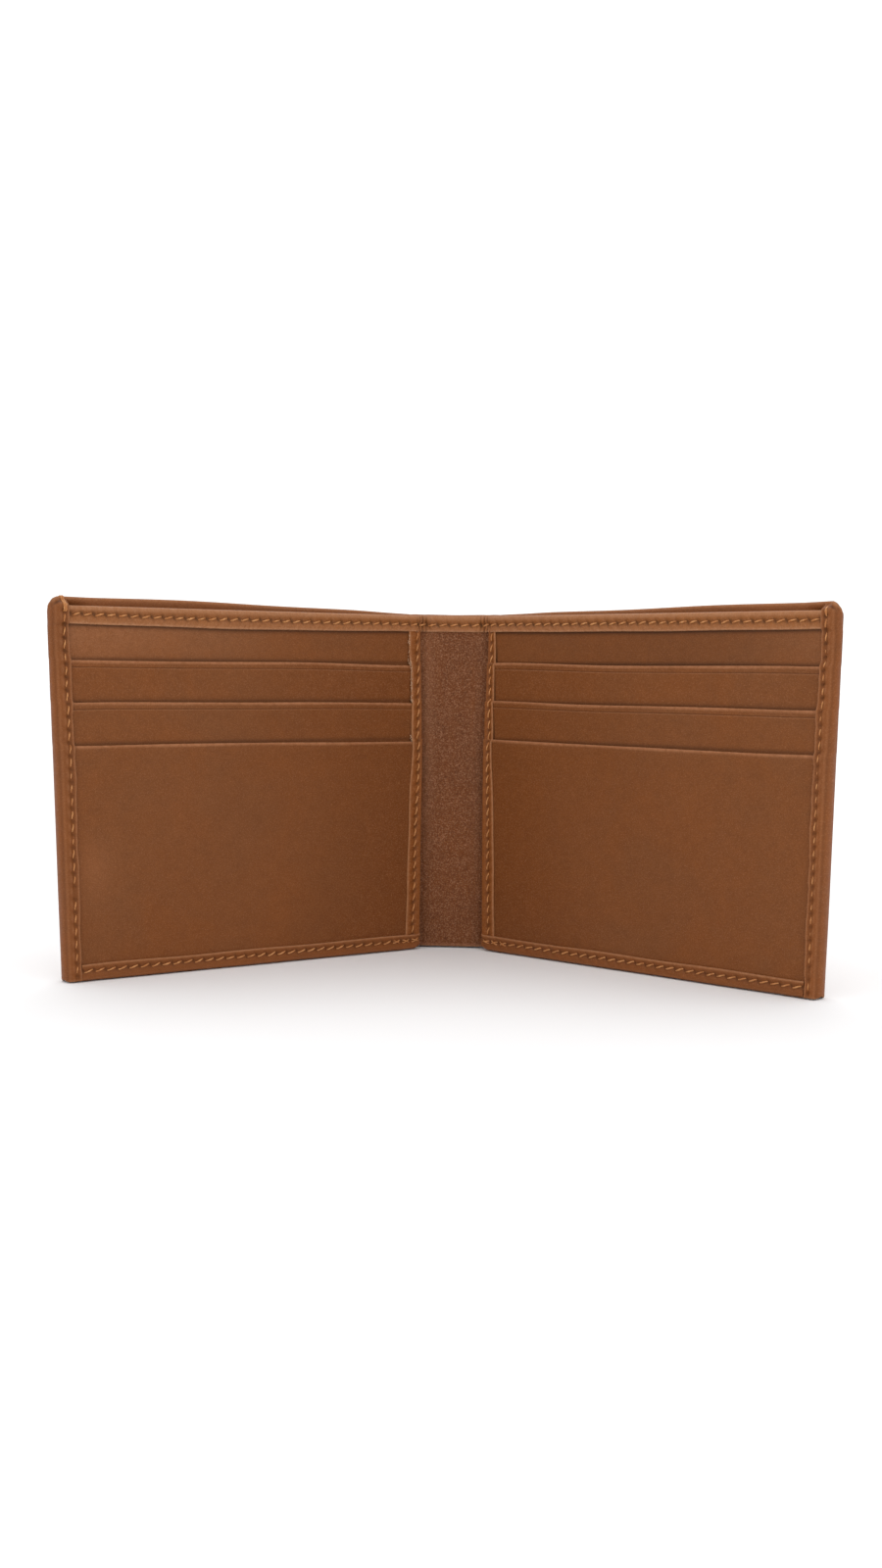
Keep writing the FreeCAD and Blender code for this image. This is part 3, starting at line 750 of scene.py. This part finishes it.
# ---------------------------------------------------------------- the card panel

def pocket_gape(s, z, mouth):
    """How far a pocket's mouth stands open between its sewn ends."""
    return 0.38 * np.sin(np.pi * np.clip((s - 4) / 99, 0, 1)) ** 0.8 * smooth(mouth - 9, mouth, z)


def shade_beside_strip(side, s, z, mouth):
    """Painted shade in the gap where a layer passes under the strip, deepest just above the next pocket's
    mouth.
    """
    deep = 0.95 if side > 0 else 0.45
    return deep * hill(s - strip_end(side, z) - 0.12, 0.26) * smooth(mouth + 9, mouth + 1, z)


def spine_shade_and_tone(side, s, z):
    """Darker, warmer colour towards the spine: painted shade, with a little random tone."""
    return (0.85 if side < 0 else 0.7) * (1 - smooth(2, 62, s)) + 0.10 * np.sin(s / 11 + z / 17)


def make_backing(name, side):
    columns = stations(CARD_START, INNER, 2.0, (CARD_START, 7, 0.5))
    s, z = grid(columns, stations(LAYER_FOOT, LAYER_TOP, 3.0, (78, 91, 0.3)))
    put = lambda *p: place(side, *p)
    relief = -0.04 * hill(z - BAND_FOOT + 1.5, 0.8)
    low = (LAYER_TOP - layer_top(s)) * smooth(84, LAYER_TOP, z)
    under = z - band_foot_z(side, s + FOLD_X)
    # Painted shade along the gap above the top pocket's mouth and under the band's foot.
    painted_shade = 0.50 * hill(z - MOUTHS[0] - 0.2, 0.6) + 0.45 * hill(under + 0.3, 0.6)
    painted_shade = painted_shade + 0.45 * hill(under + 0.1, 0.25) + shade_beside_strip(side, s, z, MOUTHS[0])
    # A broad darkening over the middle of the right backing.
    painted_shade = painted_shade + (0.20 * hill(s - 55, 38) if side > 0 else 0)
    # Painted sheen: paler towards the outer ends, where the leather would reflect the white surroundings.
    painted_sheen_outwards = 0.52 * smooth(25, 110, s) if side < 0 else 0.28 * smooth(75, 108, s)
    painted_sheen_outwards = painted_sheen_outwards * (0.55 + 0.45 * smooth(80, 90, z))
    obj = shell("card_backing_" + name, (s, 0 * s + BACKING_FACE, z - low), 0.46, put,
                (s * side + 300, z, 3.0), relief, (0.2, 0.2, 0, 0), np.clip(painted_shade, 0, 1), painted_sheen_outwards,
                shade_and_tone=0.5 * spine_shade_and_tone(side, s, z))
    finish_piece(obj, POCKET, ["card_backing_" + name], name)


def make_pocket(name, side, number):
    label = ("top", "middle", "bottom")[number]
    (s0, s1), (_, face), (z0, mouth) = POCKETS[number]
    rows = stations(z0, mouth, 2.5, (mouth - 12, mouth, 0.8), (mouth - 2.4, mouth - 0.3, 0.10),
                    (mouth - 0.3, mouth, 0.045))
    s, z = grid(stations(s0, s1, 1.3, (s0, s0 + 5, 0.35), (s1 - 8, s1, 0.4)), rows)
    low = mouth - z
    seed = 1.7 * number + side
    sag = 0.10 * np.sin(s / 13 + seed) * smooth(2, 10, s) * (1 - smooth(92, 102, s))
    sag = (sag + 0.45 * side * (1 - smooth(4, 45, s))) * smooth(mouth - 7, mouth, z)
    d = face + pocket_gape(s, z, mouth) + 0.0 * s
    relief = 0.11 * hill(low - 0.55, 0.42) - 0.05 * hill(low - 1.15, 0.22)
    painted_shade = 0.0 * s
    if number < 2:
        crease = hill(low - 1.75, 0.13)
        relief = relief - 0.09 * crease + 0.04 * hill(low - 2.0, 0.16)
        # Painted shade in the crease below the mouth.
        painted_shade = 0.45 * crease
    if side > 0 and number < 2:
        mark = hill(s - 97.5 - 0.8 * number, 2.2) * hill(low - 1.9 - 0.10 * (s - 97), 0.18)
        relief = relief + 0.07 * mark
    if number < 2:
        following = MOUTHS[number + 1]
        # Painted shade along the gap above the next pocket's mouth.
        painted_shade = painted_shade + 0.50 * hill(z - following - 0.2, 0.6) + shade_beside_strip(side, s, z, following)
    # Pale lip and lower lip of the crease: partly rubbed, partly painted highlight.
    wear_and_highlight = 0.75 * hill(low - 0.42, 0.50) * (0.75 + 0.25 * np.sin(s / 6 + seed))
    wear_and_highlight = wear_and_highlight + (0.4 * hill(low - 2.0, 0.14) if number < 2 else 0.0)
    if side < 0 and number == 2:
        wear_and_highlight = wear_and_highlight + 0.25 * hill(s - 98, 5) * hill(z - 28, 8)
    put = lambda *p: place(side, *p)
    piece = "card_pocket_" + label + "_" + name
    obj = shell(piece, (s, d, z + sag), 0.50, put,
                (s * side + 60 * number, z, 9.0 + 4 * number), relief, (0.2, 0.2, 0, 0.26),
                np.clip(painted_shade, 0, 1), wear_and_highlight, shade_and_tone=spine_shade_and_tone(side, s, z))
    finish_piece(obj, POCKET, [piece], name)


def strip_end(side, z):
    """The strip's pocket-side edge, which wanders outwards towards the foot."""
    if side < 0:
        change = np.interp(z, (0, 37, 47, 57, 80, 86, 90), (1.0, 0.1, -0.2, -0.95, -1.1, -0.7, -0.6))
    else:
        change = np.interp(z, (0, 37, 57, 90), (0.75, -0.05, -1.05, -1.45))
    return STRIP_END + change + 0.07 * np.sin(z / 3.1)


def strip_shift(side, z):
    """How far the left strip stands towards the spine over its upper part."""
    return 0.55 * smooth(30, 58, z) if side < 0 else 0.0 * z


def strip_seam(side, z):
    """The strip's seam, which wanders outwards towards the foot too."""
    line = CARD_EDGE + 1.25 + 1.55 * (1 - np.clip(z / BAND_FOOT, 0, 1)) + 0.07 * np.sin(z / 4.3)
    return line - strip_shift(side, z)


def strip_face(z):
    face = POCKETS[2][1][1]
    for mouth in MOUTHS:
        face = face - LAYER_STEP * smooth(mouth - 0.1, mouth + 0.7, z) + 0.06 * hill(z - mouth + 0.4, 0.5)
    return face + STRIP_LEATHER


def make_strip(name, side):
    low, high = BOTTOM_HEM - 0.6, BAND_FOOT + 0.6
    path = np.concatenate([np.linspace(0, 1, 8), 1 + np.linspace(0.125, 1, 8), 2 + np.linspace(0.04, 1, 26)])
    c, z = grid(path, stations(low, high, 0.24))
    face = strip_face(z)
    bend = 0.55
    turn = np.clip(c - 1, 0, 1) * math.pi / 2
    flat = np.clip(c - 2, 0, 1)
    bulge = np.sin(np.pi * np.clip((z - low) / (high - low), 0, 1)) * (1 - smooth(0.25, 0.8, flat))
    edge = CARD_EDGE - (0.42 * bulge + strip_shift(side, z) * smooth(low, low + 3, z)) * np.clip(c, 0, 1)
    s = edge + bend * (1 - np.cos(turn)) + flat * (strip_end(side, z) - edge - bend)
    rear = BACKING_BACK + 0.04
    d = rear + np.clip(c, 0, 1) * (face + 0.25 * bulge - bend - rear) + bend * np.sin(turn)
    marks = holes(low + 0.6, high - 0.4)
    height, painted_shade = seam_relief(z, s - strip_seam(side, z), marks, slant=0.5 * side, deep=0.85)
    front = smooth(1.5, 2.0, c)
    # Painted shade on the strip's side face towards the spine.
    painted_shade = painted_shade * front + 0.35 * hill(c - 0.3, 0.8) * (1 - front)
    worn = 0.0
    if side < 0:
        worn = smooth(MOUTHS[2] - 2, MOUTHS[2], z) * (0.55 + 0.45 * np.sin(z * 2.1 + 2 * np.sin(z * 0.9)))
    wear_and_highlight = (0.40 + worn) * hill(s - strip_end(side, z) + 0.15, 0.35) * front + 0.20 * hill(c - 1.7, 0.35)
    put = lambda *p: place(side, *p)
    obj = shell("edge_strip_" + name, (s, d, z), 0.36, put, (c * 2.2, z, 70.0 + side),
                height * front, (0, 0.22, 0.1, 0.1), painted_shade, wear_and_highlight)
    finish_piece(obj, STRIP, ["edge_strip_" + name], name)
    rise = lambda t: 0.20 * np.sin(np.pi * np.clip((t - low) / (high - low), 0, 1))
    at = lambda t, n, h: (strip_seam(side, t) + n, strip_face(t) + rise(t) + h - 0.11, t)
    thread = tubes("thread_strip_" + name, stitch_paths(marks, at, put, 0.30 * side, 0.15, 0.18))
    finish_piece(thread, THREAD, ["thread_strip_" + name], name)


# ---------------------------------------------------------------- the cover's folded margins

def side_front(z, s=SIDE_SEAM):
    """Depth of the side hem's front face. Its top is pinched shut against the cover."""
    free = hem_face(z) + HEM_LEATHER
    shut = cover_back(np.minimum(s, EDGE - 1), z) + 1.5
    top = cover_top(s)
    return free + (shut - free) * smooth(top - 2.1, top - 0.3, z)


def cover_back(s, z):
    """Depth of the cover's outer face."""
    return -wall_depth(s, z) - COVER_THICK


def make_side_hem(name, side):
    across_front = stations(0, 1, 0.05, (0.0, 0.1, 0.02), (0.12, 0.78, 0.045))
    path = np.concatenate([across_front, 1 + np.linspace(0, 1, 20)[1:], 2 + np.linspace(0, 1, 12)[1:]])
    c, t = grid(path, stations(0, 1, 0.0026))
    turn_start = EDGE - 2.1
    flat = np.clip(c, 0, 1)
    turn = np.clip(c - 1, 0, 1) * math.pi
    back = np.clip(c - 2, 0, 1)
    start = HEM_START + 0.10 * np.sin(t * 23 + side) + 0.06 * np.sin(t * 57)
    s = start + flat * (turn_start - start) + (EDGE - turn_start) * np.sin(turn) ** 0.9
    s = np.where(c > 2, turn_start - back * (turn_start - SIDE_SEAM), s)
    top = cover_top(s, side) - 0.02
    foot = 1.1 * (1 - np.sqrt(1 - np.clip((s - EDGE + 1.1) / 1.25, 0, 1) ** 2))
    foot = foot + 0.4 * (1 - smooth(0.9, 1.8, c))
    z = foot + t * (top - foot)
    free, rear = hem_face(z) + HEM_LEATHER, cover_back(np.minimum(s, EDGE - 1), z)
    shut = smooth(cover_top(s) - 2.1, cover_top(s) - 0.3, z)
    forward = ((free + rear) / 2 - 0.75 - rear) * shut * smooth(SIDE_SEAM, turn_start, s)
    front = free + (rear + 1.5 - free) * shut + forward
    rear = rear + forward
    d = (front + rear) / 2 + (front - rear) / 2 * np.cos(turn)
    height, painted_shade = seam_relief(z, s - SIDE_SEAM, SIDE_MARKS, slant=0.3, deep=1.35)
    on_front = 1 - smooth(1.0, 1.3, c)
    on_back = smooth(1.9, 2.0, c)
    painted_shade = painted_shade * (1 - 0.5 * on_front * (1 - smooth(50, 80, z)))
    beat = 2 * np.pi * (z - SIDE_MARKS[0] - 0.3 * (s - SIDE_SEAM)) / (SIDE_MARKS[1] - SIDE_MARKS[0])
    puff = (0.5 - 0.5 * np.cos(beat)) * hill(s - SIDE_SEAM - 1.15, 0.65) * on_front
    crease = hill(s - HEM_START - 0.85, 0.16) * on_front
    height = height * (on_front + on_back) - 0.05 * crease
    waves = np.sin(z * 0.9 + 1.7 * np.sin(z / 5)) * hill(s - SIDE_SEAM + 1.2, 0.8)
    height = height + 0.10 * waves * on_front
    edge_crease = hill(c - 1.22, 0.06)
    height = height - 0.07 * edge_crease + 0.10 * puff
    near_end = smooth(SIDE_SEAM, SIDE_SEAM + 1.2, s) * (1 - smooth(EDGE - 1.5, EDGE - 0.5, s))
    tuck = hill(z - top + 1.3, 0.30) * near_end * on_front
    # Painted shade in the creases and in the pinched tuck under the top.
    painted_shade = painted_shade * (on_front + on_back) + 0.15 * crease + 0.25 * edge_crease + 0.75 * tuck
    # The left hem is a little darker overall.
    painted_shade = painted_shade + (0.07 if side < 0 else 0)
    # Pale edge, puffs and top: partly rubbed, partly painted highlight on the puffs.
    wear_and_highlight = 0.25 * hill(c - 1.10, 0.06) + 0.30 * puff
    wear_and_highlight = wear_and_highlight + 0.85 * hill(z - top, 0.6) * smooth(SIDE_SEAM - 1, SIDE_SEAM + 1, s)
    put = lambda *p: place(side, *p)
    obj = shell("side_hem_" + name, (s, d, z), HEM_LEATHER - 0.06, put, (c * 5, z, 83.0 + side),
                height, (0.3, 0.0, 0.2, 0.3), np.clip(painted_shade, 0, 1), wear_and_highlight)
    finish_piece(obj, COVER, ["side_hem_" + name], name)
    sunk = lambda t: 0.13 + 0.07 * (1 - smooth(50, 80, t))
    front_at = lambda t, n, h: (SIDE_SEAM + n, side_front(t) + h - sunk(t), t)
    rear_at = lambda t, n, h: (SIDE_SEAM + n, cover_back(SIDE_SEAM, t) - h + 0.10, t)
    paths = stitch_paths(SIDE_MARKS, front_at, put, 0.22 * side, 0.04, 0.19, uneven=0.12, gap=0.45)
    paths += stitch_paths(SIDE_MARKS, rear_at, put, -0.22 * side)
    top = cover_top(SIDE_SEAM, side)
    if side > 0:
        last = np.array([SIDE_MARKS[-1] - 0.25, top - 0.95])
        paths += stitch_paths(last, front_at, put, -0.10, 0.12, 0.27)
    q = np.linspace(0, 1, 9)
    for shift in (-0.34, 0.22) if side < 0 else ():
        up, down = SIDE_MARKS[-1] + (top - 0.3 - SIDE_MARKS[-1]) * q, top - 0.3 - 3.0 * q
        over = math.pi * q[1:-1]
        shut = cover_back(SIDE_SEAM, top) + 0.75
        z = np.concatenate([up, top - 0.3 + 0.34 * np.sin(over), down])
        rising, falling = side_front(up) + 0.12 - 0.55 * hill(q, 0.12), cover_back(SIDE_SEAM, down) - 0.12
        d = np.concatenate([rising, shut + 0.9 * np.cos(over), falling])
        s = SIDE_SEAM + shift + 0.25 * side * (1 - (z - SIDE_MARKS[-1]) / (top - SIDE_MARKS[-1]))
        points = place(side, s, d, z)
        centre = place(side, SIDE_SEAM, shut, top - 2.0)
        paths.append((points, points - centre, np.full(len(points), 0.27)))
    thread = tubes("thread_side_" + name, paths)
    finish_piece(thread, THREAD, ["thread_side_" + name], name)


def make_bottom_hem(name, side):
    up_front = 2 + stations(0, 1, 0.045, (0.9, 1, 0.02))[1:]
    path = np.concatenate([stations(0, 1, 0.12), 1 + np.linspace(0, 1, 24)[1:], up_front])
    a, c = grid(stations(0, 1, 0.0024, (0, 0.03, 0.0015)), path)
    end = SIDE_SEAM - 0.05 + (HEM_START + 0.02 - SIDE_SEAM) * smooth(1.2, 1.9, c)
    s = CARD_EDGE + (end - CARD_EDGE) * a
    back = np.clip(c, 0, 1)
    turn = np.clip(c - 1, 0, 1) * math.pi
    up = np.clip(c - 2, 0, 1)
    curl = 1.0
    rise = BOTTOM_HEM + 0.10 * np.sin(s / 6.0 + side) - curl
    z = curl * (1 - np.sin(turn) ** 0.8) + np.where(c < 1, (1 - back) * (BOTTOM_SEAM - curl), 0) + up * rise
    front, rear = HEM_FACE + 0 * s, cover_back(s, z)
    middle, half = (front + rear) / 2, (front - rear) / 2
    d = middle - half * np.cos(turn)
    slant = -0.5 * side * np.where(c < 1.5, -1, 1)
    height, painted_shade = seam_relief(s, z - BOTTOM_SEAM, BOTTOM_MARKS, slant=slant)
    on_front = smooth(1.6, 2.0, c)
    on_back = 1 - smooth(1.0, 1.2, c)
    height, painted_shade = height * (on_front + on_back), painted_shade * (on_front + on_back)
    # Pale top edge and turn: partly rubbed, partly painted highlight.
    wear_and_highlight = 0.35 * hill(c - 3, 0.08) + 0.25 * hill(c - 1.9, 0.12)
    put = lambda *p: place(side, *p)
    obj = shell("bottom_hem_" + name, (s, d, z), HEM_LEATHER - 0.06, put, (s, c * 4, 91.0 + side),
                height, (0.3, 0.0, 0.0, 0.28), np.clip(painted_shade, 0, 1), wear_and_highlight)
    finish_piece(obj, COVER, ["bottom_hem_" + name], name)
    front_at = lambda t, n, h: (t, HEM_FACE + h - 0.11, BOTTOM_SEAM + n)
    rear_at = lambda t, n, h: (t, cover_back(t, BOTTOM_SEAM) - h + 0.10, BOTTOM_SEAM + n)
    paths = stitch_paths(BOTTOM_MARKS, front_at, put, 0.34 * side, 0.17, 0.20)
    paths += stitch_paths(BOTTOM_MARKS, rear_at, put, -0.3 * side)
    paths += stitch_paths(BOTTOM_MARKS[:4], front_at, put, -0.42 * side, 0.28, 0.18)
    thread = tubes("thread_bottom_" + name, paths)
    finish_piece(thread, THREAD, ["thread_bottom_" + name], name)


STRIP = leather("strip_leather", (0.232, 0.072, 0.0165), (0.255, 0.076, 0.0145), (0.42, 0.195, 0.090),
                0.48, gloss=0.14)

FRAY = thread_material("frayed_fibres", (0.46, 0.250, 0.130), (0.60, 0.380, 0.240), (0.30, 0.130, 0.060))


def make_fray(name, side):
    """Pale fibres worn loose where the pockets' corners meet the strip."""
    places = [(random.choice(MOUTHS) + abs(random.normal(0, 0.6)), 0.30) for _ in range(30)]
    places += [(random.uniform(MOUTHS[1], BAND_FOOT - 1), 0.12) for _ in range(44)]
    paths = []
    for z, spread in places:
        length = random.uniform(0.35, 1.0)
        bearing, q = random.uniform(0, 2 * math.pi), np.linspace(0, 1, 6)
        s = strip_end(side, z) + random.normal(0.05, spread) + length * math.cos(bearing) * q * 0.5
        up = z + length * math.sin(bearing) * q
        d = strip_face(z) - 0.06 + 0.16 * np.sin(np.pi * q)
        points = place(side, s, d, up)
        ups = place(side, s, d + 1, up) - points
        paths.append((points, ups, np.full(6, random.uniform(0.05, 0.085))))
    obj = tubes("frayed_fibres_" + name, paths, ring=6)
    finish_piece(obj, FRAY, [], name)


for name, side in SIDES:
    make_divider(name, side)
    make_divider_lining(name, side)
    make_band(name, side)
    make_cover(name, side)
    make_cover_inside(name, side)
    make_backing(name, side)
    for number in range(3):
        make_pocket(name, side, number)
    make_strip(name, side)
    make_side_hem(name, side)
    make_bottom_hem(name, side)
make_fray(*SIDES[0])

# The cloth tails and their seams are shown as the CAD model has them.
for node, obj in frame["nodes"].items():
    if not obj.hide_render:
        obj.data.materials.clear()
        obj.data.materials.append(THREAD if node.startswith("thread") else LINING)


# ---------------------------------------------------------------- floor, light and camera

def make_floor():
    g = Graph("floor")
    g.finish((0.92, 0.92, 0.925, 1), 0.9, Specular_IOR_Level=0.1)
    size = 6.0
    verts = np.array([(-size, -size, 0), (size, -size, 0), (size, size, 0), (-size, size, 0)], float)
    floor = mesh_object("floor", verts, [[0, 1, 2, 3]], {})
    floor.location.z = -0.00002
    floor.data.materials.append(g.material)


def make_light(name, place_at, target, size, energy):
    data = bpy.data.lights.new(name, "AREA")
    data.shape = "RECTANGLE"
    data.size, data.size_y = size
    data.energy = energy
    obj = bpy.data.objects.new(name, data)
    obj.location = place_at
    toward = [b - a for a, b in zip(place_at, target)]
    obj.rotation_euler = Vector(toward).to_track_quat("-Z", "Y").to_euler()
    bpy.context.scene.collection.objects.link(obj)


def make_world(strength):
    world = bpy.data.worlds.new("studio")
    world.use_nodes = True
    world.node_tree.nodes["Background"].inputs[0].default_value = (1, 1, 1, 1)
    world.node_tree.nodes["Background"].inputs[1].default_value = strength
    bpy.context.scene.world = world


def make_camera():
    """The camera stands in front, a little right of the middle, and looks slightly down."""
    yaw, pitch, roll = (math.radians(a) for a in (-3.861, 4.139, 0.522))
    forward = np.array([math.sin(yaw) * math.cos(pitch), math.cos(yaw) * math.cos(pitch), -math.sin(pitch)])
    right = np.array([math.cos(yaw), -math.sin(yaw), 0.0])
    up = np.cross(right, forward)
    right, up = right * math.cos(roll) + up * math.sin(roll), up * math.cos(roll) - right * math.sin(roll)
    data = bpy.data.cameras.new("camera")
    data.sensor_width = 36
    data.lens = 36.31
    data.clip_start = 0.01
    data.clip_end = 50
    camera = bpy.data.objects.new("camera", data)
    position = (26.909 * MM, (FOLD_Y - 447.911) * MM, 79.551 * MM)
    rows = [[right[k], up[k], -forward[k], position[k]] for k in range(3)] + [[0, 0, 0, 1]]
    camera.matrix_world = Matrix(rows)
    bpy.context.scene.collection.objects.link(camera)
    bpy.context.scene.camera = camera


make_floor()
make_world(1.17)
make_light("key", (0.25, -0.75, 0.95), (0, 0, 0.05), (0.9, 0.6), 0.5)
make_light("top", (-0.1, 0.55, 0.95), (0, 0, 0.04), (0.8, 0.4), 1.2)
make_camera()
bpy.context.scene.view_settings.view_transform = "Standard"
